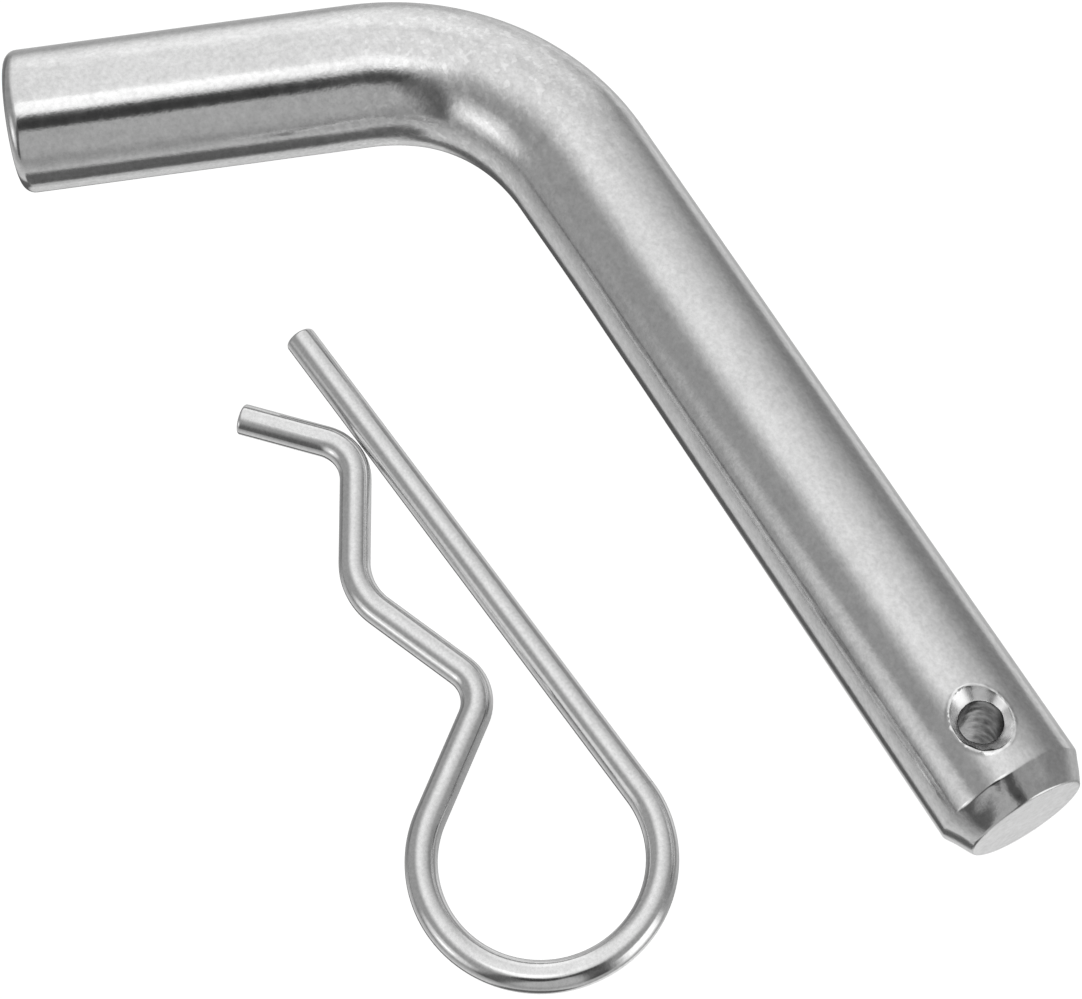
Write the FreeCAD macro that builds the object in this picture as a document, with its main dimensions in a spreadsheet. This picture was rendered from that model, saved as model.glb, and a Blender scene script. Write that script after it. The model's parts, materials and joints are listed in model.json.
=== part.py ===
"""Bent hitch pin with its spring retaining clip.

Two loose pieces lie on one floor: a round steel bar bent into a handle and a shank, and a
clip bent from one length of round spring wire.  The wire is divided where it turns in the
cross hole and where it flexes, so that each stretch can move on its own.

Frame, in millimetres: the origin is the middle of the cross hole, on the axis of the shank.
+X runs along the shank towards its chamfered tip, +Z along the cross hole, and the handle
and the clip lie towards -Y.  The floor is one bar radius below the origin.
"""
import FreeCAD, Part
import math
import os

import Sketcher
from FreeCAD import Vector

DIMENSIONS = {
    # the bent bar
    "bar_diameter": 15.875,
    "hole_to_tip": 9.2,
    "hole_to_bend": 77.7,
    "bend_radius": 25.2,
    "bend_angle": 67.0,
    "handle_straight": 38.5,
    "tip_chamfer_run": 3.1,
    "tip_chamfer_drop": 1.6,
    "handle_edge_radius": 1.4,
    # the cross hole
    "hole_diameter": 4.5,
    "sink_diameter": 6.6,
    "sink_height": 7.7,
    # the clip's wire, its straight leg and its round bow
    "wire_diameter": 3.4,
    "wire_end_chamfer": 0.3,
    "leg_length": 64.15,
    "bow_radius": 12.3,
    # the wavy arm: centres are measured from the leg's tip, along the leg and away from it
    "grip_neck_along": 43.75,
    "grip_neck_away": 11.8,
    "grip_neck_radius": 4.5,
    "saddle_along": 29.75,
    "saddle_away": 3.7,
    "saddle_radius": 7.3,
    "entry_neck_along": 15.05,
    "entry_neck_away": 8.45,
    "entry_neck_radius": 4.9,
    "flare_along": 4.45,
    "flare_away": 10.45,
    # where the clip lies beside the bar
    "clip_tip_along": -78.95,
    "clip_tip_across": -35.55,
    "clip_turn": 4.5,
}

SHEET = "dimensions"
LEAST_CUT = 0.001  # cubic millimetres
LINE_START = 1
LINE_END = 2
ARC_CENTRE = 3

doc = FreeCAD.newDocument("hitch_pin_and_clip")


def make_sheet():
    """Put every driving dimension in a spreadsheet cell with its own alias."""
    sheet = doc.addObject("Spreadsheet::Sheet", SHEET)
    for row, (alias, value) in enumerate(DIMENSIONS.items(), start=1):
        sheet.set(f"A{row}", alias)
        sheet.set(f"B{row}", str(value))
        sheet.setAlias(f"B{row}", alias)
    doc.recompute()


def size(alias):
    return DIMENSIONS[alias]


def bind(thing, path, formula):
    """Bind a property to a formula in which each alias stands for its cell."""
    for alias in sorted(DIMENSIONS, key=len, reverse=True):
        formula = formula.replace(f"[{alias}]", f"{SHEET}.{alias}")
    thing.setExpression(path, formula)


def new_body(name):
    body = doc.addObject("PartDesign::Body", name)
    body.Label = name
    return body


def new_sketch(body, name, plane_role, offset_formulas=None):
    """Attach a sketch to one of the body's own origin planes, shifted where asked."""
    sketch = body.newObject("Sketcher::SketchObject", name)
    plane = next(f for f in body.Origin.OriginFeatures if f.Role == plane_role)
    sketch.AttachmentSupport = (plane, [""])
    sketch.MapMode = "FlatFace"
    for path, formula in (offset_formulas or {}).items():
        bind(sketch, f"AttachmentOffset.Base.{path}", formula)
    return sketch


def driven(sketch, name, kind, args, start, formula):
    """Add a dimension to a sketch and bind it to the sheet."""
    index = sketch.addConstraint(Sketcher.Constraint(kind, *args, start))
    sketch.renameConstraint(index, name)
    bind(sketch, f"Constraints.{name}", formula)


def circle_sketch(body, name, plane_role, diameter_alias, offset_formulas=None):
    """A round section, centred on its sketch's origin."""
    sketch = new_sketch(body, name, plane_role, offset_formulas)
    circle = sketch.addGeometry(Part.Circle(Vector(), Vector(0, 0, 1), size(diameter_alias) / 2), False)
    sketch.addConstraint(Sketcher.Constraint("Coincident", circle, ARC_CENTRE, -1, 1))
    driven(sketch, "diameter", "Diameter", (circle,), size(diameter_alias), f"[{diameter_alias}]")
    return sketch


def sweep_along(body, name, section, path):
    pipe = body.newObject("PartDesign::AdditivePipe", name)
    pipe.Profile = section
    pipe.Spine = (path, [f"Edge{i + 1}" for i in range(path.GeometryCount)])
    doc.recompute()
    return pipe


def outline(sketch, corners):
    """Draw a closed polygon; give its lines' indices."""
    ends = corners[1:] + corners[:1]
    lines = [sketch.addGeometry(Part.LineSegment(Vector(*a, 0), Vector(*b, 0)), False)
             for a, b in zip(corners, ends)]
    for line, after in zip(lines, lines[1:] + lines[:1]):
        sketch.addConstraint(Sketcher.Constraint("Coincident", line, LINE_END, after, LINE_START))
    return lines


def place_point(sketch, name, line, end, point, formulas):
    """Fix a point of a sketch by its two coordinates, each bound to the sheet."""
    for letter, kind, value, formula in zip("xy", ("DistanceX", "DistanceY"), point, formulas):
        driven(sketch, f"{name}_{letter}", kind, (-1, 1, line, end), value, formula)


def groove(body, name, sketch, axis_name):
    """Turn a sketch all the way round one of its own axes and take it off the body."""
    before = body.Shape.Volume
    cut = body.newObject("PartDesign::Groove", name)
    cut.Profile = sketch
    cut.ReferenceAxis = (sketch, [axis_name])
    cut.Angle = 360.0
    doc.recompute()
    check_removed(body, name, before)


def check_removed(body, name, before):
    if not body.Shape.Volume < before - LEAST_CUT:
        raise RuntimeError(f"{name} removed nothing from {body.Label}")


def bar_path(body):
    """The bar's centreline: shank, bend and handle, from the tip backwards."""
    sketch = new_sketch(body, "bar_centreline", "XY_Plane")
    turn = math.radians(size("bend_angle"))
    tip = Vector(size("hole_to_tip"), 0, 0)
    bend_start = Vector(-size("hole_to_bend"), 0, 0)
    centre = bend_start + Vector(0, -size("bend_radius"), 0)
    start_angle = math.pi / 2
    bend = Part.ArcOfCircle(Part.Circle(centre, Vector(0, 0, 1), size("bend_radius")),
                            start_angle, start_angle + turn)
    bend_end = bend.EndPoint
    handle_end = bend_end + Vector(-math.cos(turn), -math.sin(turn), 0) * size("handle_straight")

    shank = sketch.addGeometry(Part.LineSegment(tip, bend_start), False)
    arc = sketch.addGeometry(bend, False)
    handle = sketch.addGeometry(Part.LineSegment(bend_end, handle_end), False)
    sketch.addConstraint(Sketcher.Constraint("Horizontal", shank))
    sketch.addConstraint(Sketcher.Constraint("PointOnObject", shank, LINE_START, -1))
    sketch.addConstraint(Sketcher.Constraint("Tangent", shank, LINE_END, arc, LINE_START))
    sketch.addConstraint(Sketcher.Constraint("Tangent", arc, LINE_END, handle, LINE_START))
    driven(sketch, "tip", "DistanceX", (-1, 1, shank, LINE_START), tip.x, "[hole_to_tip]")
    driven(sketch, "bend", "DistanceX", (-1, 1, shank, LINE_END), bend_start.x, "-[hole_to_bend]")
    driven(sketch, "radius", "Radius", (arc,), size("bend_radius"), "[bend_radius]")
    driven(sketch, "turn", "Angle", (arc,), turn, "[bend_angle] * 1 deg")
    driven(sketch, "handle", "Distance", (handle,), size("handle_straight"), "[handle_straight]")
    return sketch


def cut_tip_chamfer(body):
    """Take the lead-in chamfer off the shank's tip by turning a triangle about the shank."""
    sketch = new_sketch(body, "tip_chamfer_outline", "XZ_Plane")
    radius = size("bar_diameter") / 2
    spare = 1.0
    slope = size("tip_chamfer_drop") / size("tip_chamfer_run")
    tip = size("hole_to_tip")
    corners = [(tip - size("tip_chamfer_run"), radius),
               (tip + spare, radius - size("tip_chamfer_drop") - spare * slope),
               (tip + spare, radius + spare),
               (tip - size("tip_chamfer_run"), radius + spare)]
    formulas = [("[hole_to_tip] - [tip_chamfer_run]", "[bar_diameter] / 2"),
                (f"[hole_to_tip] + {spare}",
                 f"[bar_diameter] / 2 - [tip_chamfer_drop] * (1 + {spare} / [tip_chamfer_run])"),
                (f"[hole_to_tip] + {spare}", f"[bar_diameter] / 2 + {spare}"),
                ("[hole_to_tip] - [tip_chamfer_run]", f"[bar_diameter] / 2 + {spare}")]
    lines = outline(sketch, corners)
    for number, (line, corner, formula) in enumerate(zip(lines, corners, formulas)):
        place_point(sketch, f"corner_{number}", line, LINE_START, corner, formula)
    groove(body, "tip_chamfer", sketch, "H_Axis")


def farthest_rim(shape, radius, direction):
    """The name of the closed round edge of one radius that lies farthest in a direction."""
    rims = [f"Edge{i + 1}" for i, edge in enumerate(shape.Edges)
            if isinstance(edge.Curve, Part.Circle) and len(edge.Vertexes) == 1
            and abs(edge.Curve.Radius - radius) < 1e-6]
    return max(rims, key=lambda name: shape.getElement(name).CenterOfMass.dot(direction))


def dress_rim(body, kind, name, size_property, alias, radius, direction):
    """Fillet or chamfer the rim at the end of a bar or wire."""
    base = body.Tip
    rim = farthest_rim(base.Shape, radius, direction)
    dressing = body.newObject(kind, name)
    dressing.Base = (base, [rim])
    setattr(dressing, size_property, size(alias))
    bind(dressing, size_property, f"[{alias}]")
    doc.recompute()


def round_handle_end(body):
    """Round the edge of the handle's flat end."""
    turn = math.radians(size("bend_angle"))
    outwards = Vector(-math.cos(turn), -math.sin(turn), 0)
    dress_rim(body, "PartDesign::Fillet", "handle_end_rounding", "Radius", "handle_edge_radius",
              size("bar_diameter") / 2, outwards)


def drill_cross_hole(body):
    """Drill through the shank along Z, both ways from its middle."""
    before = body.Shape.Volume
    sketch = circle_sketch(body, "cross_hole_outline", "XY_Plane", "hole_diameter")
    pocket = body.newObject("PartDesign::Pocket", "cross_hole")
    pocket.Profile = sketch
    pocket.SideType = "Symmetric"
    pocket.Length = 2 * size("bar_diameter")
    bind(pocket, "Length", "2 * [bar_diameter]")
    doc.recompute()
    check_removed(body, "cross_hole", before)


def countersink_cross_hole(body):
    """Break both mouths of the cross hole with a right-angled cone."""
    for name, side in (("upper", 1), ("lower", -1)):
        sketch = new_sketch(body, f"{name}_countersink_outline", "XZ_Plane")
        mouth = size("sink_diameter") / 2
        height = size("sink_height")
        spare = 1.0
        corners = [(0.0, side * (height - mouth)),
                   (mouth + spare, side * (height + spare)),
                   (0.0, side * (height + spare))]
        sign = "" if side > 0 else "-1 * "
        top = f"{sign}([sink_height] + {spare})"
        formulas = [("0", f"{sign}([sink_height] - [sink_diameter] / 2)"),
                    (f"[sink_diameter] / 2 + {spare}", top),
                    ("0", top)]
        lines = outline(sketch, corners)
        for number, (line, corner, (across, up)) in enumerate(zip(lines, corners, formulas)):
            if corner[0] == 0.0:
                sketch.addConstraint(Sketcher.Constraint("PointOnObject", line, LINE_START, -2))
            else:
                driven(sketch, f"across_{number}", "DistanceX", (-1, 1, line, LINE_START),
                       corner[0], across)
            driven(sketch, f"up_{number}", "DistanceY", (-1, 1, line, LINE_START), corner[1], up)
        groove(body, f"{name}_countersink", sketch, "V_Axis")


def make_hitch_pin():
    body = new_body("hitch_pin")
    path = bar_path(body)
    section = circle_sketch(body, "bar_section", "YZ_Plane", "bar_diameter", {"z": "[hole_to_tip]"})
    sweep_along(body, "bent_bar", section, path)
    cut_tip_chamfer(body)
    round_handle_end(body)
    drill_cross_hole(body)
    countersink_cross_hole(body)
    return body


def place_clip_piece(body):
    """Lay a clip piece, drawn with its leg along +X from the leg's tip, beside the bar."""
    bind(body, "Placement.Base.x", "[clip_tip_along]")
    bind(body, "Placement.Base.y", "[clip_tip_across]")
    bind(body, "Placement.Base.z", "[wire_diameter] / 2 - [bar_diameter] / 2")
    body.Placement.Rotation = FreeCAD.Rotation(Vector(0, 0, 1), 1)
    bind(body, "Placement.Rotation.Angle", "[clip_turn] * 1 deg")


def make_straight_leg():
    body = new_body("clip_straight_leg")
    section = circle_sketch(body, "leg_section", "YZ_Plane", "wire_diameter")
    pad = body.newObject("PartDesign::Pad", "leg_wire")
    pad.Profile = section
    pad.Length = size("leg_length")
    bind(pad, "Length", "[leg_length]")
    doc.recompute()
    break_wire_end(body)
    place_clip_piece(body)
    return body


def break_wire_end(body):
    """Chamfer the sheared end of the wire that points back towards the handle."""
    dress_rim(body, "PartDesign::Chamfer", "end_chamfer", "Size", "wire_end_chamfer",
              size("wire_diameter") / 2, Vector(-1, 0, 0))


def make_spring_bow():
    """The quarter of the bow between the straight leg and the crown, where the bow flexes."""
    body = new_body("clip_spring_bow")
    section = new_sketch(body, "bow_section", "YZ_Plane", {"x": "-[bow_radius]", "z": "[leg_length]"})
    centre = Vector(size("bow_radius"), 0, 0)
    wire = Part.Circle(centre, Vector(0, 0, 1), size("wire_diameter") / 2)
    circle = section.addGeometry(wire, False)
    section.addConstraint(Sketcher.Constraint("PointOnObject", circle, ARC_CENTRE, -1))
    driven(section, "reach", "DistanceX", (-1, 1, circle, ARC_CENTRE), centre.x, "[bow_radius]")
    driven(section, "diameter", "Diameter", (circle,), size("wire_diameter"), "[wire_diameter]")
    turn = body.newObject("PartDesign::Revolution", "bow_wire")
    turn.Profile = section
    turn.ReferenceAxis = (section, ["V_Axis"])
    turn.Angle = 90.0
    turn.Reversed = True
    doc.recompute()
    place_clip_piece(body)
    return body


def crossing_tangent(centre_a, radius_a, centre_b, radius_b, turns_left):
    """The line that leaves circle a and meets circle b, which turns the other way."""
    gap = centre_b - centre_a
    lean = math.asin((radius_a + radius_b) / gap.Length)
    side = 1 if turns_left else -1
    heading = math.atan2(gap.y, gap.x) + side * lean
    inwards = Vector(-math.sin(heading), math.cos(heading), 0) * side
    return centre_a - inwards * radius_a, centre_b + inwards * radius_b


def tangent_to_end(centre, radius, end, turns_left):
    """The point where a line to a given end leaves a circle."""
    gap = end - centre
    side = 1 if turns_left else -1
    heading = math.atan2(gap.y, gap.x) + side * math.asin(radius / gap.Length)
    inwards = Vector(-math.sin(heading), math.cos(heading), 0) * side
    return centre - inwards * radius


def arm_path(body):
    """The arm's centreline: rest of the bow, grip neck, saddle, entry neck and flared end.

    Each stretch turns the other way from the one before, and straight runs cross between.
    """
    sketch = new_sketch(body, "arm_centreline", "XY_Plane")
    rounds = [("bow", "leg_length", "bow_radius", "bow_radius")]
    rounds += [(name, f"{name}_along", f"{name}_away", f"{name}_radius")
               for name in ("grip_neck", "saddle", "entry_neck")]
    centres = [Vector(size(along), -size(away), 0) for _, along, away, _ in rounds]
    radii = [size(radius) for _, _, _, radius in rounds]
    flare = Vector(size("flare_along"), -size("flare_away"), 0)
    crown = centres[0] + Vector(radii[0], 0, 0)

    runs = []
    for i in range(len(rounds) - 1):
        turns_left = i % 2 == 1
        runs.append(crossing_tangent(centres[i], radii[i], centres[i + 1], radii[i + 1], turns_left))
    runs.append((tangent_to_end(centres[-1], radii[-1], flare, True), flare))
    starts = [crown] + [run[1] for run in runs[:-1]]
    ends = [run[0] for run in runs]

    pieces = []
    for i, (centre, radius, start, end, run) in enumerate(zip(centres, radii, starts, ends, runs)):
        turns_left = i % 2 == 1
        first, last = (start, end) if turns_left else (end, start)
        angles = [math.atan2(p.y - centre.y, p.x - centre.x) for p in (first, last)]
        if angles[1] < angles[0]:
            angles[1] += 2 * math.pi
        arc = sketch.addGeometry(
            Part.ArcOfCircle(Part.Circle(centre, Vector(0, 0, 1), radius), *angles), False)
        line = sketch.addGeometry(Part.LineSegment(*run), False)
        entry, leave = (LINE_START, LINE_END) if turns_left else (LINE_END, LINE_START)
        pieces.append((arc, entry, leave, line))

    for i, (arc, entry, leave, line) in enumerate(pieces):
        name, along, away, radius = rounds[i]
        sketch.addConstraint(Sketcher.Constraint("Tangent", arc, leave, line, LINE_START))
        if i + 1 < len(pieces):
            after, after_entry = pieces[i + 1][:2]
            sketch.addConstraint(Sketcher.Constraint("Tangent", line, LINE_END, after, after_entry))
        driven(sketch, f"{name}_radius", "Radius", (arc,), radii[i], f"[{radius}]")
        place_point(sketch, name, arc, ARC_CENTRE, (centres[i].x, centres[i].y),
                    (f"[{along}]", f"-[{away}]"))
    first_arc, first_entry = pieces[0][:2]
    driven(sketch, "crown", "DistanceY", (-1, 1, first_arc, first_entry), crown.y, "-[bow_radius]")
    place_point(sketch, "flare", pieces[-1][3], LINE_END, (flare.x, flare.y),
                ("[flare_along]", "-[flare_away]"))
    return sketch


def make_gripping_arm():
    body = new_body("clip_gripping_arm")
    path = arm_path(body)
    section = circle_sketch(body, "arm_section", "XZ_Plane", "wire_diameter",
                            {"x": "[leg_length] + [bow_radius]", "z": "[bow_radius]"})
    sweep_along(body, "arm_wire", section, path)
    break_wire_end(body)
    place_clip_piece(body)
    return body


def check_document(bodies):
    """Stop unless every object computed and every sub-part is one valid solid."""
    for thing in doc.Objects:
        if {"Invalid", "Error"} & set(thing.State):
            raise RuntimeError(f"{thing.Name} failed: {thing.State}")
    for body in bodies:
        shape = body.Shape
        if shape.isNull() or not shape.isValid() or len(shape.Solids) != 1:
            raise RuntimeError(f"{body.Label} isn't one valid solid")


def write_parts(bodies):
    os.makedirs("parts", exist_ok=True)
    for body in bodies:
        body.Shape.exportStep(f"parts/{body.Label}.step")
        box = body.Shape.BoundBox
        print(f"{body.Label}: {body.Shape.Volume:.1f} mm3, "
              f"x {box.XMin:.2f}..{box.XMax:.2f}, y {box.YMin:.2f}..{box.YMax:.2f}, "
              f"z {box.ZMin:.2f}..{box.ZMax:.2f}")


make_sheet()
sub_parts = [make_hitch_pin(), make_straight_leg(), make_spring_bow(), make_gripping_arm()]
doc.recompute()
check_document(sub_parts)
write_parts(sub_parts)
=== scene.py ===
import json
import math
from itertools import accumulate

import bmesh
import bpy
import numpy as np
from mathutils import Matrix, Vector, noise


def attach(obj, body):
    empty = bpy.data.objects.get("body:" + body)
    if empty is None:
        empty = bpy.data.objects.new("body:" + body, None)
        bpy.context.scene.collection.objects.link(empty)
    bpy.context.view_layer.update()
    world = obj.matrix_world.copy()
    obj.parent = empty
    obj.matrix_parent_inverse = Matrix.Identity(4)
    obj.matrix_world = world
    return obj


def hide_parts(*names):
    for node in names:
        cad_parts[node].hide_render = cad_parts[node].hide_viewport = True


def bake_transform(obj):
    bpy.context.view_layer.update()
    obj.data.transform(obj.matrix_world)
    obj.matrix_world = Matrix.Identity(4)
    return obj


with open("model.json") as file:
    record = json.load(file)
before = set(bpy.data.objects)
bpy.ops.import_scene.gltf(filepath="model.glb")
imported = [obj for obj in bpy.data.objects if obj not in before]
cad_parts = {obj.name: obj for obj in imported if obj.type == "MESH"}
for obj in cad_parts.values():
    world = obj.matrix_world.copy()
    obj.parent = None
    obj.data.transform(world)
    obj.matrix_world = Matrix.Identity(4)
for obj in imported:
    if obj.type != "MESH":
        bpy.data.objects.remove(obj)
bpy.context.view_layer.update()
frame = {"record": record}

RECORD = frame["record"]
MOUNTS = {mount["name"]: mount for mount in RECORD["mounts"]}
MM = 0.001

# The bent bar, from the handle's end to the shank's tip. The origin is on the shank's axis, in the
# middle of the cross hole, and the tip points along +X.
BAR_RADIUS = MOUNTS["shank"]["dims"]["r_mm"] * MM
HOLE_RADIUS = MOUNTS["cross_hole"]["dims"]["r_mm"] * MM
HOLE_WALL = MOUNTS["cross_hole"]["dims"]["length_mm"] * MM
FLOOR = -BAR_RADIUS
HOLE_TO_TIP = 9.2 * MM
HOLE_TO_BEND = 77.7 * MM
BEND_RADIUS = 25.2 * MM
BEND_ANGLE = math.radians(67)
HANDLE_STRAIGHT = 38.5 * MM
TIP_CHAMFER = (3.1 * MM, 1.6 * MM)  # along the bar, inwards
HANDLE_ROUNDING = 1.4 * MM
CHAMFER_ROUNDING = 0.9 * MM
TIP_ROUNDING = 0.42 * MM
SINK_RADIUS = 3.3 * MM
CONE_REACH = HOLE_RADIUS - HOLE_WALL / 2  # distance from the hole's axis less height, on the cone
BEND_LENGTH = BEND_RADIUS * BEND_ANGLE
BAR_LENGTH = HANDLE_STRAIGHT + BEND_LENGTH + HOLE_TO_BEND + HOLE_TO_TIP
HOLE_ALONG = BAR_LENGTH - HOLE_TO_TIP

# Marks of making on the bar: what cold bending, grinding and drilling did to its skin.
BEND_PINCH = 0.24 * MM
BEND_BULGE = 0.20 * MM
BEND_DIMPLE = 0.10 * MM
DIMPLE_ANGLE = math.radians(138)
STRAIGHT_RIPPLE = 0.012 * MM
BEND_RIPPLE = 0.02 * MM
RIPPLE_LENGTH = 6 * MM
CHAMFER_ROLL = 0.10 * MM
ROLL_LENGTH = 2.1 * MM
ROLL_PLACE = Vector((0.0, 3.1, 7.4))  # picks the stretch of noise that the chamfer's rolls follow
LIP_HEIGHT = 0.07 * MM
LIP_RAGGEDNESS = 0.09 * MM
LIP_GRAIN = 0.8 * MM
LIP_OFFSET = 0.19 * MM
LIP_WIDTH = 0.17 * MM
LIP_SPAN = 5 * MM  # no lip further along the bar from the hole than this
SINK_SOFTNESS = 0.25 * MM
DRILL_CHATTER = 0.05 * MM
SINK_ROUGHER = 1.6  # the countersink chattered that many times more than the drill
CHATTER_LENGTH = 2.5 * MM
CHATTER_DETAIL = 2.2

# The clip, drawn from its leg's tip: along the leg, and away from it towards the arm.
WIRE_RADIUS = 1.7 * MM
WIRE_UNEVENNESS = 0.006 * MM
UNEVEN_LENGTH = 7 * MM
UNEVEN_DETAIL = 1.3
CUT_SOFTNESS = 0.32 * MM
LEG_LENGTH = 64.15 * MM
CLIP_TIP = Vector((-78.95 * MM, -35.55 * MM, FLOOR + WIRE_RADIUS))
CLIP_TURN = math.radians(4.5)
CLIP_ROUNDS = [  # along, away, radius: bow, grip neck, saddle, entry neck, and the flared end's tip
    (LEG_LENGTH, 12.3 * MM, 12.3 * MM),
    (43.75 * MM, 11.8 * MM, 4.5 * MM),
    (29.75 * MM, 3.7 * MM, 7.3 * MM),
    (15.05 * MM, 8.45 * MM, 4.9 * MM),
    (4.45 * MM, 10.45 * MM, 0.0),
]

# How finely the meshes are made.
BAR_SEGMENTS = 240
BAR_STEP = 0.64 * MM
HOLE_STEP = 0.16 * MM
HOLE_STRETCH = 4.6 * MM  # the bar is finer this far to both sides of the hole
DRILL_SEGMENTS = 72
DRILL_STEP = 0.4 * MM
WIRE_SEGMENTS = 40
WIRE_STEP = 0.45 * MM
BAR_CREASE = math.radians(24)  # edges sharper than this are shaded as edges
WIRE_CREASE = math.radians(50)

# Bright zinc: the light it gives back face on, its roughness, and its tint near a grazing angle.
BAR_TONE = 0.76
WIRE_TONE = 0.83
ZINC_GLOSS = 0.12
GRAZING_TINT = (0.75, 0.75, 0.75, 1)

# The camera stands on the +X side, high over the two pieces. Its azimuth runs from -Y towards +X.
CAMERA_AZIMUTH = math.radians(65.75)
CAMERA_ELEVATION = math.radians(66.42)
CAMERA_ROLL = math.radians(-6.6)
CAMERA_DISTANCE = 0.35
CAMERA_LENS = 108.6
CAMERA_SENSOR = 36.0
CAMERA_AIM = Vector((-49.2 * MM, -22.4 * MM, FLOOR))

# The light: an even light from everywhere, one lamp for the faint shadows, and the floor's own glow.
PLAIN_LIGHT = 0.20
KEY_STRENGTH = 0.15
KEY_SOFTNESS = math.radians(24)
KEY_TILT = 35
KEY_AZIMUTH = 160
FLOOR_GLOW = 0.86
FLOOR_HALF = 3.0

# The studio that the metal mirrors. Directions are a tilt from straight up and an azimuth from +X
# towards +Y, in degrees. Left and right are as the camera sees them.
TENT_LEVEL = 0.35
FAR_WALL_LEVEL = 0.56
FAR_WALL_EDGES = [  # the way each edge faces, where the wall begins, where it is full, soft ends
    ((-0.60, -0.61, 0.52), -0.38, 0.60, False),
    ((0.14, 0.89, 0.44), -0.25, 0.32, True),
    ((-0.88, 0.0, 0.47), -0.12, 0.22, True),
]
TENT_SPOTS = [  # tilt, azimuth, full within, none beyond, brightness added
    (82, 145, 14, 34, 0.24),  # foot of the far wall
    (6, 30, 4, 16, 0.12),  # roof
    (13.5, -63, 6, 12.5, 0.38),  # roof lamp
    (66, -25, 15, 35, 0.11),  # near wall, below the camera
    (78, -91, 2, 9, 0.55),  # low lamp on the left
    (76, -91, 8, 24, 0.46),  # halo of the low lamp
    (88, 85, 20, 45, -0.08),  # foot of the right wall
]
STRIP_LAMP = ((68, 30), (120, 30), 14, 0.95)  # from, to, half width, brightness added
TABLE_LEVEL = 0.70
TABLE_BELOW_FAR_WALL = 0.30
TABLE_MIDDLE = (180, 0, 10, 24, 0.16)
TABLE_STRIP = ((117, 95), (117, 140), 9, 0.26)
TABLE_DIM_CORNER = (142, 32, 22, 42, 0.36)
TABLE_BRIGHT_PATCH = (156, 24, 10, 22, 0.52)


# ---------------------------------------------------------------- outlines and sweeps

def rounded(corners, radii, arc_steps):
    """A polyline with its inner corners rounded, as a list of 2-D points."""
    points = [Vector(corners[0])]
    for before, corner, after, radius in zip(corners, corners[1:], corners[2:], radii):
        corner = Vector(corner)
        back = (Vector(before) - corner).normalized()
        on = (Vector(after) - corner).normalized()
        half = back.angle(on) / 2
        reach = radius / math.tan(half)
        centre = corner + (back + on).normalized() * (radius / math.sin(half))
        start = corner + back * reach - centre
        end = corner + on * reach - centre
        turn = start.angle(end)
        for step in range(arc_steps + 1):
            part = step / arc_steps
            spin = (math.sin((1 - part) * turn) * start + math.sin(part * turn) * end) / math.sin(turn)
            points.append(centre + spin)
    points.append(Vector(corners[-1]))
    return points


def subdivided(points, longest):
    """The same polyline with no step longer than a given length."""
    result = [points[0]]
    for a, b in zip(points, points[1:]):
        steps = max(1, math.ceil((b - a).length / longest))
        result += [a.lerp(b, step / steps) for step in range(1, steps + 1)]
    return result


def hump(x, middle, width):
    """A smooth bump of height 1."""
    return math.exp(-((x - middle) / width) ** 2)


def around(count):
    """Evenly spaced angles, once round."""
    return [2 * math.pi * i / count for i in range(count)]


def ring(bm, centre, heading, radii, level):
    """One ring of vertices round a centreline that lies flat at a given height."""
    left = Vector((-math.sin(heading), math.cos(heading), 0))
    up = Vector((0, 0, 1))
    middle = Vector((centre.x, centre.y, level))
    verts = []
    for angle, radius in zip(around(len(radii)), radii):
        verts.append(bm.verts.new(middle + radius * (math.cos(angle) * left + math.sin(angle) * up)))
    return verts


def skin(bm, rings):
    """Faces from each ring to the next."""
    for a, b in zip(rings, rings[1:]):
        count = len(a)
        for i in range(count):
            j = (i + 1) % count
            bm.faces.new((a[i], a[j], b[j], b[i]))


def close_end(bm, verts, centre, flip):
    """Close a ring onto one vertex at its centre."""
    middle = bm.verts.new(centre)
    count = len(verts)
    for i in range(count):
        j = (i + 1) % count
        corners = (verts[i], middle, verts[j]) if flip else (verts[j], middle, verts[i])
        bm.faces.new(corners)


def shade_smooth(mesh, sharp_angle=None):
    mesh.polygons.foreach_set("use_smooth", [True] * len(mesh.polygons))
    if sharp_angle is not None:
        mesh.set_sharp_from_angle(angle=sharp_angle)
    mesh.update()


def finish_mesh(bm, name, sharp_angle=None):
    """Turn a bmesh into an object of the scene."""
    bmesh.ops.recalc_face_normals(bm, faces=bm.faces)
    mesh = bpy.data.meshes.new(name)
    bm.to_mesh(mesh)
    bm.free()
    piece = bpy.data.objects.new(name, mesh)
    bpy.context.scene.collection.objects.link(piece)
    shade_smooth(mesh, sharp_angle)
    return piece


# ---------------------------------------------------------------- the hitch pin

def bar_centre(along):
    """Point and heading of the bar's centreline at a distance from the handle's end."""
    bend_start = Vector((-HOLE_TO_BEND, 0))
    past_bend = along - HANDLE_STRAIGHT - BEND_LENGTH
    if past_bend >= 0:
        return bend_start + Vector((past_bend, 0)), 0.0
    heading = min(-past_bend / BEND_RADIUS, BEND_ANGLE)
    centre = bend_start - Vector((0, BEND_RADIUS))
    point = centre + Vector((-math.sin(heading), math.cos(heading))) * BEND_RADIUS
    before_bend = HANDLE_STRAIGHT - along
    if before_bend > 0:
        point -= Vector((math.cos(heading), math.sin(heading))) * before_bend
    return point, heading


def bend_swell(through, angle):
    """How far cold bending pushed the skin in or out; through runs from 0 to 1 along the bend."""
    inner = max(0.0, -math.cos(angle)) ** 2
    upper = max(0.0, math.cos(angle - DIMPLE_ANGLE)) ** 6
    pinch = -BEND_PINCH * hump(through, 0.38, 0.24) * inner
    bulge = BEND_BULGE * hump(through, 0.95, 0.30) * inner
    dimple = -BEND_DIMPLE * hump(through, 0.46, 0.09) * upper
    return pinch + bulge + dimple


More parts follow.
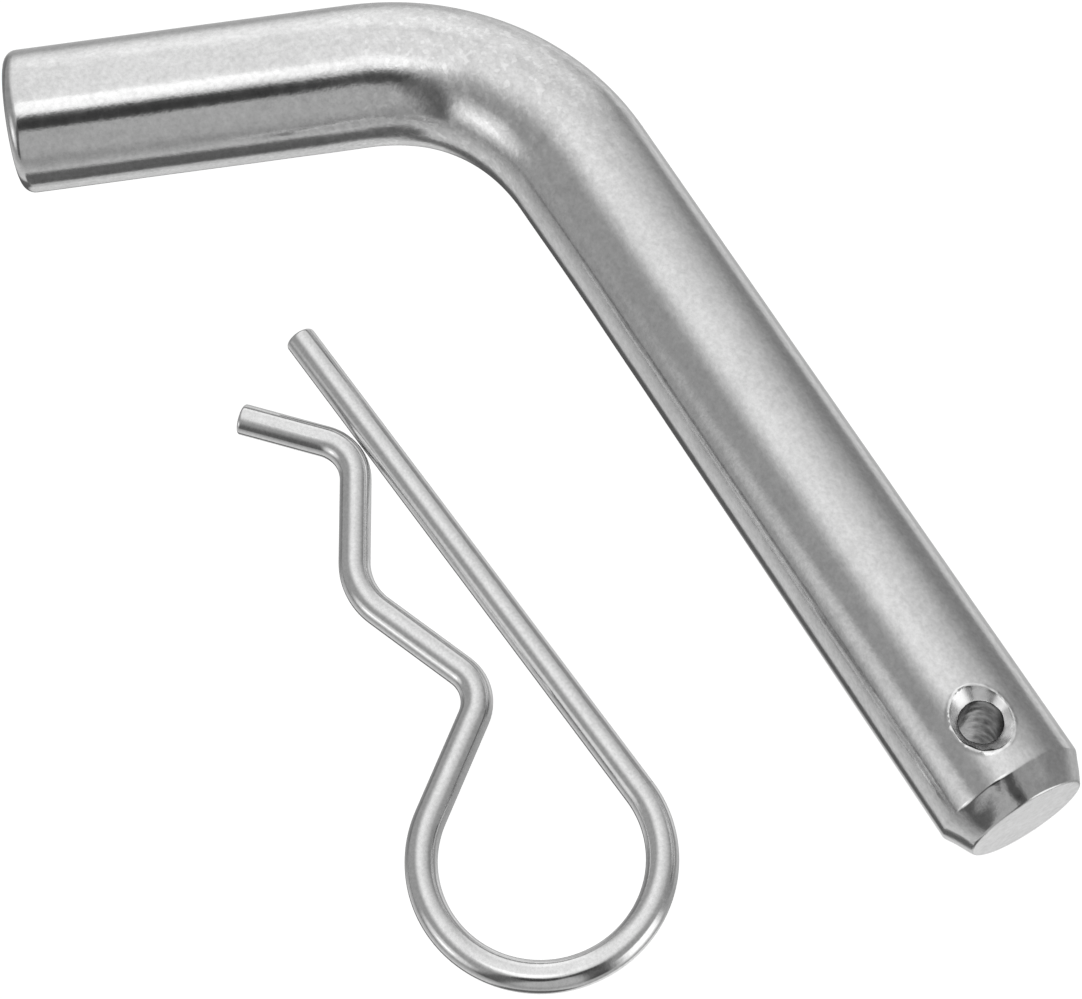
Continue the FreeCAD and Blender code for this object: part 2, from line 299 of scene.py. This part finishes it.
def bar_ripple(through, place):
    """Very slight unevenness of the drawn bar, stronger where it was bent."""
    strength = STRAIGHT_RIPPLE + BEND_RIPPLE * hump(through, 0.5, 0.45)
    return strength * noise.noise(place / RIPPLE_LENGTH)


def chamfer_wave(along, place):
    """The lead-in chamfer was ground by hand, so it rolls a little."""
    run, _ = TIP_CHAMFER
    through = (along - (BAR_LENGTH - run)) / run
    if through <= 0 or through >= 1:
        return 0.0
    window = math.sin(math.pi * through) ** 0.5
    return CHAMFER_ROLL * window * noise.noise(place / ROLL_LENGTH + ROLL_PLACE)


def hole_lip(place):
    """The ragged lip that drilling raised just outside each mouth of the cross hole."""
    if abs(place.x) >= LIP_SPAN:
        return 0.0
    beyond_cone = math.hypot(place.x, place.y) - abs(place.z) - CONE_REACH
    height = LIP_HEIGHT + LIP_RAGGEDNESS * noise.noise(place / LIP_GRAIN)
    return max(0.0, height) * hump(beyond_cone, LIP_OFFSET, LIP_WIDTH)


def bar_stations():
    """Distance along the bar and radius of every ring, ends included, finer near the cross hole."""
    run, drop = TIP_CHAMFER
    corners = [(0, 0), (0, BAR_RADIUS), (BAR_LENGTH - run, BAR_RADIUS),
               (BAR_LENGTH, BAR_RADIUS - drop), (BAR_LENGTH, 0)]
    outline = rounded(corners, [HANDLE_ROUNDING, CHAMFER_ROUNDING, TIP_ROUNDING], arc_steps=8)
    coarse = subdivided(outline, BAR_STEP)
    stations = [coarse[0]]
    for a, b in zip(coarse, coarse[1:]):
        near_hole = abs(a.x - HOLE_ALONG) < HOLE_STRETCH
        stations += subdivided([a, b], HOLE_STEP)[1:] if near_hole else [b]
    return stations


def bar_radii(along, radius, centre, heading):
    """The bar's radius all round at one station, with every mark of making."""
    through = (along - HANDLE_STRAIGHT) / BEND_LENGTH
    fullness = radius / BAR_RADIUS
    middle = Vector((centre.x, centre.y, 0))
    radii = []
    for angle in around(BAR_SEGMENTS):
        outwards = Vector((-math.sin(heading) * math.cos(angle), math.cos(heading) * math.cos(angle),
                           math.sin(angle)))
        place = middle + outwards * radius
        extra = bend_swell(through, angle) + bar_ripple(through, place)
        extra += chamfer_wave(along, place)
        extra += hole_lip(place)
        radii.append(radius + extra * fullness)
    return radii


def make_bar():
    bm = bmesh.new()
    rings = []
    for along, radius in bar_stations()[1:-1]:
        centre, heading = bar_centre(along)
        rings.append(ring(bm, centre, heading, bar_radii(along, radius, centre, heading), 0.0))
    skin(bm, rings)
    for verts, along, flip in ((rings[0], 0.0, True), (rings[-1], BAR_LENGTH, False)):
        centre, _ = bar_centre(along)
        close_end(bm, verts, Vector((centre.x, centre.y, 0)), flip)
    return finish_mesh(bm, "hitch_pin_bar")


def make_drill():
    """The shape that the drill and the countersink leave: a round column with a cone at each end."""
    half_wall = HOLE_WALL / 2
    top = BAR_RADIUS + 2 * MM
    corners = [(0, HOLE_RADIUS), (half_wall, HOLE_RADIUS), (top, HOLE_RADIUS + top - half_wall)]
    upper = subdivided(rounded(corners, [SINK_SOFTNESS], arc_steps=5), DRILL_STEP)
    profile = [(-height, radius) for height, radius in reversed(upper[1:])] + [tuple(p) for p in upper]
    bm = bmesh.new()
    rings = []
    for height, radius in profile:
        roughness = SINK_ROUGHER if abs(height) > half_wall else 1
        verts = []
        for angle in around(DRILL_SEGMENTS):
            place = Vector((math.cos(angle), math.sin(angle), height / CHATTER_LENGTH))
            reach = radius + DRILL_CHATTER * noise.noise(place * CHATTER_DETAIL) * roughness
            verts.append(bm.verts.new((reach * math.cos(angle), reach * math.sin(angle), height)))
        rings.append(verts)
    skin(bm, rings)
    for verts, height, flip in ((rings[0], profile[0][0], False), (rings[-1], profile[-1][0], True)):
        close_end(bm, verts, Vector((0, 0, height)), flip)
    return finish_mesh(bm, "drill")


def drill_bar(bar, drill):
    """Cut the drill's shape out of the bar for good, and delete the drill."""
    cut = bar.modifiers.new("cross_hole", "BOOLEAN")
    cut.operation = "DIFFERENCE"
    cut.solver = "EXACT"
    cut.object = drill
    bpy.context.view_layer.update()
    graph = bpy.context.evaluated_depsgraph_get()
    mesh = bpy.data.meshes.new_from_object(bar.evaluated_get(graph), depsgraph=graph)
    bar.modifiers.clear()
    bar.data = mesh
    mesh.name = bar.name
    drill_mesh = drill.data
    bpy.data.objects.remove(drill)
    bpy.data.meshes.remove(drill_mesh)
    shade_smooth(mesh, BAR_CREASE)


def along_and_side(co):
    """For points on the bar: distance from the handle's end, and to the left of the centreline."""
    bend_centre = np.array((-HOLE_TO_BEND, -BEND_RADIUS))
    offset = co[:, :2] - bend_centre
    turned = np.arctan2(-offset[:, 0], offset[:, 1])
    on_bend = np.clip(turned, 0, BEND_ANGLE)
    left = np.stack([-np.sin(on_bend), np.cos(on_bend)], axis=1)
    ahead = np.stack([np.cos(on_bend), np.sin(on_bend)], axis=1)
    centre = bend_centre + left * BEND_RADIUS
    straight = ((co[:, :2] - centre) * ahead).sum(axis=1)
    along = HANDLE_STRAIGHT + BEND_RADIUS * (BEND_ANGLE - on_bend) + straight
    side = ((co[:, :2] - centre) * left).sum(axis=1)
    return along, side


def mark_bar(bar):
    """Write on each vertex, for the material, its distance along the bar and to its side, how much
    the bending worked it, and whether it lies on an end face, in the bore or on a countersink."""
    mesh = bar.data
    co = np.empty(len(mesh.vertices) * 3)
    mesh.vertices.foreach_get("co", co)
    co = co.reshape(-1, 3)
    along, side = along_and_side(co)
    bend_middle = HANDLE_STRAIGHT + 0.5 * BEND_LENGTH
    near_end = np.minimum(along, BAR_LENGTH - along)
    near_hole = np.hypot(co[:, 0], co[:, 1]) < SINK_RADIUS + 0.5 * MM
    bored = near_hole & (np.abs(co[:, 2]) < HOLE_WALL / 2)
    under_skin = np.hypot(co[:, 1], co[:, 2]) < BAR_RADIUS - 0.1 * MM
    marks = {
        "along": along,
        "side": side,
        "bent": np.exp(-((along - bend_middle) / (0.62 * BEND_LENGTH)) ** 4),
        "faced": np.clip(1 - near_end / (0.15 * MM), 0, 1),
        "bored": bored,
        "sunk": near_hole & under_skin & ~bored,
    }
    for name, values in marks.items():
        layer = mesh.attributes.new(name, "FLOAT", "POINT")
        layer.data.foreach_set("value", np.asarray(values, dtype=np.float32))


# ---------------------------------------------------------------- the clip

def crossing_tangent(a, radius_a, b, radius_b, side):
    """The straight run that leaves one round and meets the next, which turns the other way."""
    gap = b - a
    heading = math.atan2(gap.y, gap.x) + side * math.asin((radius_a + radius_b) / gap.length)
    inwards = Vector((-math.sin(heading), math.cos(heading))) * side
    return a - inwards * radius_a, b + inwards * radius_b


def arc_points(centre, radius, start, end, side):
    """Points along an arc from start to end, turning left for side 1 and right for -1."""
    first = math.atan2(start.y - centre.y, start.x - centre.x)
    last = math.atan2(end.y - centre.y, end.x - centre.x)
    turn = (last - first) * side % (2 * math.pi) * side
    steps = max(6, math.ceil(abs(turn) * radius / WIRE_STEP))
    spins = [first + turn * i / steps for i in range(steps + 1)]
    return [centre + Vector((math.cos(spin), math.sin(spin))) * radius for spin in spins]


def clip_outline():
    """The clip's centreline in its own plane, as one list for the leg and one for the rest."""
    leg_end = Vector((LEG_LENGTH, 0))
    leg = subdivided([Vector((0, 0)), leg_end], WIRE_STEP)
    rounds = [(Vector((along, -away)), radius) for along, away, radius in CLIP_ROUNDS]
    arm = []
    start = leg_end
    for i, ((centre, radius), (next_centre, next_radius)) in enumerate(zip(rounds, rounds[1:])):
        side = 1 if i % 2 else -1
        leave, meet = crossing_tangent(centre, radius, next_centre, next_radius, side)
        round_part = arc_points(centre, radius, start, leave, side)
        arm += round_part if not arm else round_part[1:]
        arm += subdivided([leave, meet], WIRE_STEP)[1:]
        start = meet
    return leg, arm


def clip_place(point):
    """From the clip's own plane to the object's frame."""
    turned = Matrix.Rotation(CLIP_TURN, 2) @ point
    return Vector((CLIP_TIP.x + turned.x, CLIP_TIP.y + turned.y))


def cut_rings():
    """A sheared end from its middle outwards: how far back each ring lies, and its radius."""
    face = [(0.0, (WIRE_RADIUS - CUT_SOFTNESS) * part) for part in (0.35, 0.75)]
    edge = [(CUT_SOFTNESS * (1 - math.cos(t)), WIRE_RADIUS - CUT_SOFTNESS * (1 - math.sin(t)))
            for t in np.linspace(0, math.pi / 2, 6)]
    return face + edge


def heading_at(points, i):
    """The way a line runs at one of its points."""
    a = points[max(i - 1, 0)]
    b = points[min(i + 1, len(points) - 1)]
    return math.atan2(b.y - a.y, b.x - a.x)


def wire_stations(points, cut_start, cut_end):
    """Centre, heading, radius and distance of every ring along a wire, cut ends included."""
    lengths = list(accumulate(((b - a).length for a, b in zip(points, points[1:])), initial=0.0))
    total = lengths[-1]
    stations = []
    if cut_start:
        heading = heading_at(points, 0)
        ahead = Vector((math.cos(heading), math.sin(heading)))
        stations += [(points[0] + ahead * back, heading, radius, back) for back, radius in cut_rings()]
    for i, (point, distance) in enumerate(zip(points, lengths)):
        in_start = cut_start and distance <= CUT_SOFTNESS
        in_end = cut_end and total - distance <= CUT_SOFTNESS
        if not in_start and not in_end:
            stations.append((point, heading_at(points, i), WIRE_RADIUS, distance))
    if cut_end:
        heading = heading_at(points, len(points) - 1)
        ahead = Vector((math.cos(heading), math.sin(heading)))
        for back, radius in reversed(cut_rings()):
            stations.append((points[-1] - ahead * back, heading, radius, total - back))
    return stations


def make_wire(name, line, cut_start, cut_end, first_along):
    """A round wire along a flat line; a cut end is sheared flat with a small soft edge."""
    points = [clip_place(p) for p in line]
    bm = bmesh.new()
    rings = []
    for centre, heading, radius, distance in wire_stations(points, cut_start, cut_end):
        radii = []
        for angle in around(WIRE_SEGMENTS):
            place = Vector((math.cos(angle), math.sin(angle), (first_along + distance) / UNEVEN_LENGTH))
            radii.append(radius + WIRE_UNEVENNESS * noise.noise(place * UNEVEN_DETAIL))
        rings.append(ring(bm, centre, heading, radii, CLIP_TIP.z))
    skin(bm, rings)
    for verts, point, flip in ((rings[0], points[0], True), (rings[-1], points[-1], False)):
        close_end(bm, verts, Vector((point.x, point.y, CLIP_TIP.z)), flip)
    return finish_mesh(bm, name, WIRE_CREASE)


# ---------------------------------------------------------------- materials

class Nodes:
    """Short forms for the nodes that the materials and the world share."""

    def __init__(self, tree):
        self.tree = tree

    def add(self, kind, **values):
        node = self.tree.nodes.new(kind)
        for key, value in values.items():
            setattr(node, key, value)
        return node

    def feed(self, socket, value):
        if hasattr(value, "is_linked"):
            self.tree.links.new(value, socket)
        else:
            socket.default_value = value

    def math(self, operation, *values):
        node = self.add("ShaderNodeMath", operation=operation)
        for socket, value in zip(node.inputs, values):
            self.feed(socket, value)
        return node.outputs[0]

    def times(self, *values):
        result = values[0]
        for value in values[1:]:
            result = self.math("MULTIPLY", result, value)
        return result

    def mixed(self, start, *parts):
        """A starting value plus each pattern times its amount."""
        for value, amount in parts:
            start = self.math("ADD", start, self.times(value, amount))
        return start

    def rest(self, value):
        return self.math("SUBTRACT", 1.0, value)

    def centred(self, value):
        return self.math("SUBTRACT", value, 0.5)

    def vector(self, operation, *values):
        node = self.add("ShaderNodeVectorMath", operation=operation)
        for socket, value in zip(node.inputs, values):
            self.feed(socket, value)
        return node.outputs["Value" if operation == "DOT_PRODUCT" else "Vector"]

    def ramp(self, value, low, high, soft=True):
        """0 at low, 1 at high, and level beyond both. Low may be the larger one."""
        node = self.add("ShaderNodeMapRange", interpolation_type="SMOOTHSTEP" if soft else "LINEAR")
        for socket, number in zip(node.inputs, (value, low, high)):
            self.feed(socket, number)
        return node.outputs[0]

    def noise(self, vector, scale, detail, roughness):
        """Noise with its scale per metre, so that 1000 makes grains of a millimetre."""
        node = self.add("ShaderNodeTexNoise")
        self.feed(node.inputs["Vector"], vector)
        for name, value in (("Scale", scale), ("Detail", detail), ("Roughness", roughness)):
            node.inputs[name].default_value = value
        return node.outputs["Fac"]

    def attribute(self, name):
        return self.add("ShaderNodeAttribute", attribute_name=name).outputs["Fac"]

    def join(self, x, y, z):
        node = self.add("ShaderNodeCombineXYZ")
        for socket, value in zip(node.inputs, (x, y, z)):
            self.feed(socket, value)
        return node.outputs[0]

    def grey(self, value):
        return self.join(value, value, value)

    def bump(self, height, distance, strength, normal=None):
        node = self.add("ShaderNodeBump")
        node.inputs["Strength"].default_value = strength
        node.inputs["Distance"].default_value = distance
        self.feed(node.inputs["Height"], height)
        if normal is not None:
            self.feed(node.inputs["Normal"], normal)
        return node.outputs[0]


def new_material(name):
    material = bpy.data.materials.new(name)
    material.use_nodes = True
    tree = material.node_tree
    tree.nodes.clear()
    output = tree.nodes.new("ShaderNodeOutputMaterial")
    shader = tree.nodes.new("ShaderNodeBsdfPrincipled")
    tree.links.new(shader.outputs[0], output.inputs["Surface"])
    return material, Nodes(tree), shader


def plate(n, shader, shade, gloss, peel):
    """Make a shader bright metal with a given grey, roughness and bump."""
    n.feed(shader.inputs["Base Color"], n.grey(shade))
    n.feed(shader.inputs["Roughness"], gloss)
    n.feed(shader.inputs["Normal"], peel)
    shader.inputs["Metallic"].default_value = 1.0
    shader.inputs["Specular Tint"].default_value = GRAZING_TINT


def rubbed_lip(n, position, height, bored):
    """1 on the lip round each mouth of the cross hole, with ragged edges, else 0."""
    ragged = n.noise(position, 900.0, 2.0, 0.6)
    flat = n.vector("MULTIPLY", position, (1, 1, 0))
    from_axis = n.math("SQRT", n.vector("DOT_PRODUCT", flat, flat))
    beyond_cone = n.math("SUBTRACT", from_axis, n.math("ABSOLUTE", height))
    beyond_cone = n.math("SUBTRACT", beyond_cone, CONE_REACH)
    beyond_cone = n.mixed(beyond_cone, (n.centred(ragged), 0.35 * MM))
    inner_edge = n.ramp(beyond_cone, 0.02 * MM, 0.16 * MM)
    outer_edge = n.ramp(beyond_cone, 0.40 * MM, 0.24 * MM)
    return n.times(inner_edge, outer_edge, n.rest(bored))


def zinc_plated_bar():
    """Bright zinc over drawn bar: fine crystals, cloudy patches, drawing lines, a matt cut end,
    painted shade in the bore and painted light on the countersinks.
    """
    material, n, shader = new_material("zinc_plated_bar")
    position = n.add("ShaderNodeTexCoord").outputs["Object"]
    bent = n.attribute("bent")
    faced = n.attribute("faced")
    bored = n.attribute("bored")
    sunk = n.attribute("sunk")
    height = n.vector("DOT_PRODUCT", position, (0, 0, 1))
    lengthwise = n.join(n.times(n.attribute("along"), 0.06), n.attribute("side"), height)

    crystals = n.noise(position, 1900.0, 2.0, 0.6)
    clusters = n.noise(position, 620.0, 3.0, 0.6)
    clouds = n.noise(position, 150.0, 3.0, 0.55)
    lines = n.noise(lengthwise, 1500.0, 2.0, 0.6)
    flecks = n.times(n.ramp(n.noise(position, 1250.0, 1.0, 0.5), 0.55, 0.66), bent)
    lip = rubbed_lip(n, position, height, bored)

    # Each countersink is painted lighter: painted light in its cone.
    # The bore's wall is painted darker: painted shade in the cross hole.
    shade = n.mixed(BAR_TONE, (n.centred(clouds), 0.10), (n.centred(clusters), 0.20),
                    (n.centred(crystals), 0.34), (n.centred(lines), 0.06), (faced, 0.10),
                    (bored, -0.40), (lip, 0.22), (sunk, 0.26), (flecks, 0.12),
                    (n.times(bent, n.centred(clusters)), 0.16))
    gloss = n.mixed(ZINC_GLOSS, (n.centred(clusters), 0.10), (bent, 0.07), (faced, 0.22),
                    (bored, 0.12), (sunk, 0.18))
    rough_skin = n.mixed(0.45, (bent, 0.55))
    peel = n.bump(clusters, 0.04 * MM, 0.30)
    peel = n.bump(n.times(crystals, rough_skin), 0.04 * MM, 0.30, peel)
    peel = n.bump(lines, 0.01 * MM, 0.35, peel)
    plate(n, shader, shade, gloss, peel)
    return material


def zinc_plated_wire():
    """Bright zinc over spring wire: lighter than the bar, with a fine even grain."""
    material, n, shader = new_material("zinc_plated_wire")
    position = n.add("ShaderNodeTexCoord").outputs["Object"]
    patches = n.noise(position, 500.0, 3.0, 0.6)
    grain = n.noise(position, 3000.0, 2.0, 0.6)
    shade = n.mixed(WIRE_TONE, (n.centred(patches), 0.14), (n.centred(grain), 0.34))
    gloss = n.mixed(ZINC_GLOSS, (n.centred(grain), 0.08))
    peel = n.bump(patches, 0.02 * MM, 0.3)
    peel = n.bump(grain, 0.006 * MM, 0.3, peel)
    plate(n, shader, shade, gloss, peel)
    return material


def floor_material():
    """Matt white that also glows, so that the floor stays plain white."""
    material, _, shader = new_material("pale_floor")
    shader.inputs["Base Color"].default_value = (0.8, 0.8, 0.8, 1)
    shader.inputs["Roughness"].default_value = 0.9
    shader.inputs["Specular IOR Level"].default_value = 0.1
    shader.inputs["Emission Color"].default_value = (1, 1, 1, 1)
    shader.inputs["Emission Strength"].default_value = FLOOR_GLOW
    return material


# ---------------------------------------------------------------- studio

def make_floor():
    """White paper. The metal mirrors the studio's own table instead, so that both stay even."""
    bm = bmesh.new()
    bmesh.ops.create_grid(bm, x_segments=1, y_segments=1, size=FLOOR_HALF)
    floor = finish_mesh(bm, "floor")
    floor.location.z = FLOOR
    floor.data.materials.append(floor_material())
    floor.visible_glossy = False
    return floor


def direction(tilt, azimuth):
    """A unit vector that far from straight up, at a compass angle measured from +X to +Y."""
    lean = math.radians(tilt)
    turn = math.radians(azimuth)
    flat = math.sin(lean)
    return Vector((flat * math.cos(turn), flat * math.sin(turn), math.cos(lean)))


def lobe(n, ray, centre, full, none):
    """1 within an angle of a direction, falling smoothly to 0 at a wider one."""
    near = n.vector("DOT_PRODUCT", ray, tuple(centre))
    return n.ramp(near, math.cos(math.radians(none)), math.cos(math.radians(full)))


def spot(n, ray, tilt, azimuth, full, none):
    """A lobe about a direction given by its two angles."""
    return lobe(n, ray, direction(tilt, azimuth), full, none)


def streak(n, ray, start, end, half_width):
    """A soft band on the sky from one direction to another, each given by its two angles."""
    first = direction(*start)
    last = direction(*end)
    across = first.cross(last).normalized()
    middle = (first + last).normalized()
    reach = math.degrees(first.angle(last)) / 2
    offset = n.math("ABSOLUTE", n.vector("DOT_PRODUCT", ray, tuple(across)))
    edge = math.sin(math.radians(half_width))
    side = n.ramp(offset, edge * 1.5, edge * 0.5)
    return n.times(side, lobe(n, ray, middle, reach, reach + 10))


def far_wall_shape(n, ray):
    """1 on the bright wall across from the camera and over the object, 0 elsewhere."""
    edges = []
    for faces, outer, inner, soft in FAR_WALL_EDGES:
        edges.append(n.ramp(n.vector("DOT_PRODUCT", ray, faces), outer, inner, soft))
    return n.times(*edges)


def tent_level(n, ray, far_wall):
    """Brightness of the walls, the roof and the lamps."""
    level = n.mixed(TENT_LEVEL, (far_wall, FAR_WALL_LEVEL))
    level = n.mixed(level, *[(spot(n, ray, *shape), amount) for *shape, amount in TENT_SPOTS])
    *strip, amount = STRIP_LAMP
    return n.mixed(level, (streak(n, ray, *strip), amount))


def with_table(n, ray, level, upward, far_wall):
    """The same brightness with the table laid over its lower part, and the light on the table."""
    table = n.ramp(upward, -0.15, -0.8)
    *middle, middle_glow = TABLE_MIDDLE
    *strip, strip_glow = TABLE_STRIP
    *corner, corner_shade = TABLE_DIM_CORNER
    *patch, patch_glow = TABLE_BRIGHT_PATCH
    level = n.math("ADD", n.times(level, n.rest(table)), n.times(table, TABLE_LEVEL))
    level = n.mixed(level, (n.times(table, far_wall), TABLE_BELOW_FAR_WALL))
    level = n.mixed(level, (spot(n, ray, *middle), middle_glow))
    level = n.mixed(level, (streak(n, ray, *strip), strip_glow))
    level = n.times(level, n.rest(n.times(spot(n, ray, *corner), corner_shade)))
    return n.mixed(level, (spot(n, ray, *patch), patch_glow))


def contact_shade(n, ray, upward):
    """1 where the metal mirrors painted shadow on the table: the contact shade under its own left
    edge, and a painted shadow in front of it.
    """
    left_half = n.rest(n.ramp(n.vector("DOT_PRODUCT", ray, tuple(direction(90, 50))), -0.20, 0.20))
    straight_down = spot(n, ray, 180, 0, 14, 22)
    before_tip = spot(n, ray, 156, 24, 20, 34)
    open_table = n.math("MAXIMUM", straight_down, before_tip)
    under_edge = n.times(n.ramp(upward, -0.78, -0.85), left_half, n.rest(open_table))
    # A painted shadow: the shade on the table in front, where the handle rests, as the metal mirrors
    # it.
    painted_front_shadow = spot(n, ray, 139, -38, 11, 20)
    return n.math("MAXIMUM", under_edge, painted_front_shadow)


def studio_shade(n, ray, upward):
    """How much of the light is taken away by what stands dark in the studio, and by the painted
    shadows on the table.
    """
    shades = [
        (spot(n, ray, 36, -37, 8, 14), 0.88),  # camera
        (streak(n, ray, (40, -48), (94, -62), 8), 0.68),  # camera stand
        (streak(n, ray, (38, 0), (102, 0), 7.5), 0.76),  # light stand
        (spot(n, ray, 33, -5, 5, 12), 0.84),  # back of the lamp's head
        (contact_shade(n, ray, upward), 0.80),
        (streak(n, ray, (99, -150), (99, -100), 1.5), 0.60),  # edge of the table
        (spot(n, ray, 119, -157, 14, 27), 0.46),  # stand at the side
    ]
    darkest = 0.0
    for shape, amount in shades:
        darkest = n.math("MAXIMUM", darkest, n.times(shape, amount))
    return darkest


def studio_world():
    """The studio as the metal mirrors it: a tent, bright overhead and across from the camera, with
    lamps, dark stands, the table and painted shadows on it. Everything else gets a plain, even light."""
    world = bpy.data.worlds.new("studio")
    world.use_nodes = True
    bpy.context.scene.world = world
    tree = world.node_tree
    tree.nodes.clear()
    n = Nodes(tree)
    ray = n.add("ShaderNodeTexCoord").outputs["Generated"]
    upward = n.vector("DOT_PRODUCT", ray, (0, 0, 1))
    far_wall = far_wall_shape(n, ray)
    level = with_table(n, ray, tent_level(n, ray, far_wall), upward, far_wall)
    level = n.times(level, n.rest(studio_shade(n, ray, upward)))

    studio = n.add("ShaderNodeBackground")
    n.feed(studio.inputs["Color"], n.grey(level))
    plain = n.add("ShaderNodeBackground")
    plain.inputs["Color"].default_value = (1, 1, 1, 1)
    plain.inputs["Strength"].default_value = PLAIN_LIGHT
    mirrored = n.add("ShaderNodeLightPath").outputs["Is Glossy Ray"]
    mix = n.add("ShaderNodeMixShader")
    n.feed(mix.inputs[0], mirrored)
    tree.links.new(plain.outputs[0], mix.inputs[1])
    tree.links.new(studio.outputs[0], mix.inputs[2])
    output = n.add("ShaderNodeOutputWorld")
    tree.links.new(mix.outputs[0], output.inputs["Surface"])


def make_key_light():
    """A soft lamp from the far side, kept out of the metal's reflections."""
    light = bpy.data.lights.new("key", "SUN")
    light.angle = KEY_SOFTNESS
    light.energy = KEY_STRENGTH
    lamp = bpy.data.objects.new("key", light)
    lamp.rotation_euler = direction(KEY_TILT, KEY_AZIMUTH).to_track_quat("Z", "Y").to_euler()
    lamp.visible_glossy = False
    bpy.context.scene.collection.objects.link(lamp)
    return lamp


def make_camera():
    data = bpy.data.cameras.new("camera")
    data.lens = CAMERA_LENS
    data.sensor_width = CAMERA_SENSOR
    data.clip_start = 0.01
    camera = bpy.data.objects.new("camera", data)
    flat = math.cos(CAMERA_ELEVATION)
    back = Vector((math.sin(CAMERA_AZIMUTH) * flat, -math.cos(CAMERA_AZIMUTH) * flat,
                   math.sin(CAMERA_ELEVATION)))
    look = (-back).to_track_quat("-Z", "Y").to_matrix() @ Matrix.Rotation(CAMERA_ROLL, 3, "Z")
    camera.matrix_world = Matrix.Translation(CAMERA_AIM + back * CAMERA_DISTANCE) @ look.to_4x4()
    bpy.context.scene.collection.objects.link(camera)
    bpy.context.scene.camera = camera
    return camera


# ---------------------------------------------------------------- putting it together

def make_hitch_pin():
    bar = make_bar()
    drill_bar(bar, make_drill())
    mark_bar(bar)
    bar.data.materials.clear()
    bar.data.materials.append(zinc_plated_bar())
    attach(bar, "pin")
    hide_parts("hitch_pin")
    return bar


def make_clip():
    leg_line, arm_line = clip_outline()
    metal = zinc_plated_wire()
    leg = make_wire("clip_leg_wire", leg_line, True, False, 0.0)
    arm = make_wire("clip_bow_and_arm_wire", arm_line, False, True, LEG_LENGTH)
    for piece in (leg, arm):
        piece.data.materials.append(metal)
    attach(leg, "clip_leg")
    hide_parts("clip_straight_leg")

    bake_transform(arm)
    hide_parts("clip_spring_bow", "clip_gripping_arm")
    return leg, arm


bpy.context.scene.view_settings.view_transform = "Standard"
make_camera()
make_floor()
studio_world()
make_key_light()
make_hitch_pin()
make_clip()
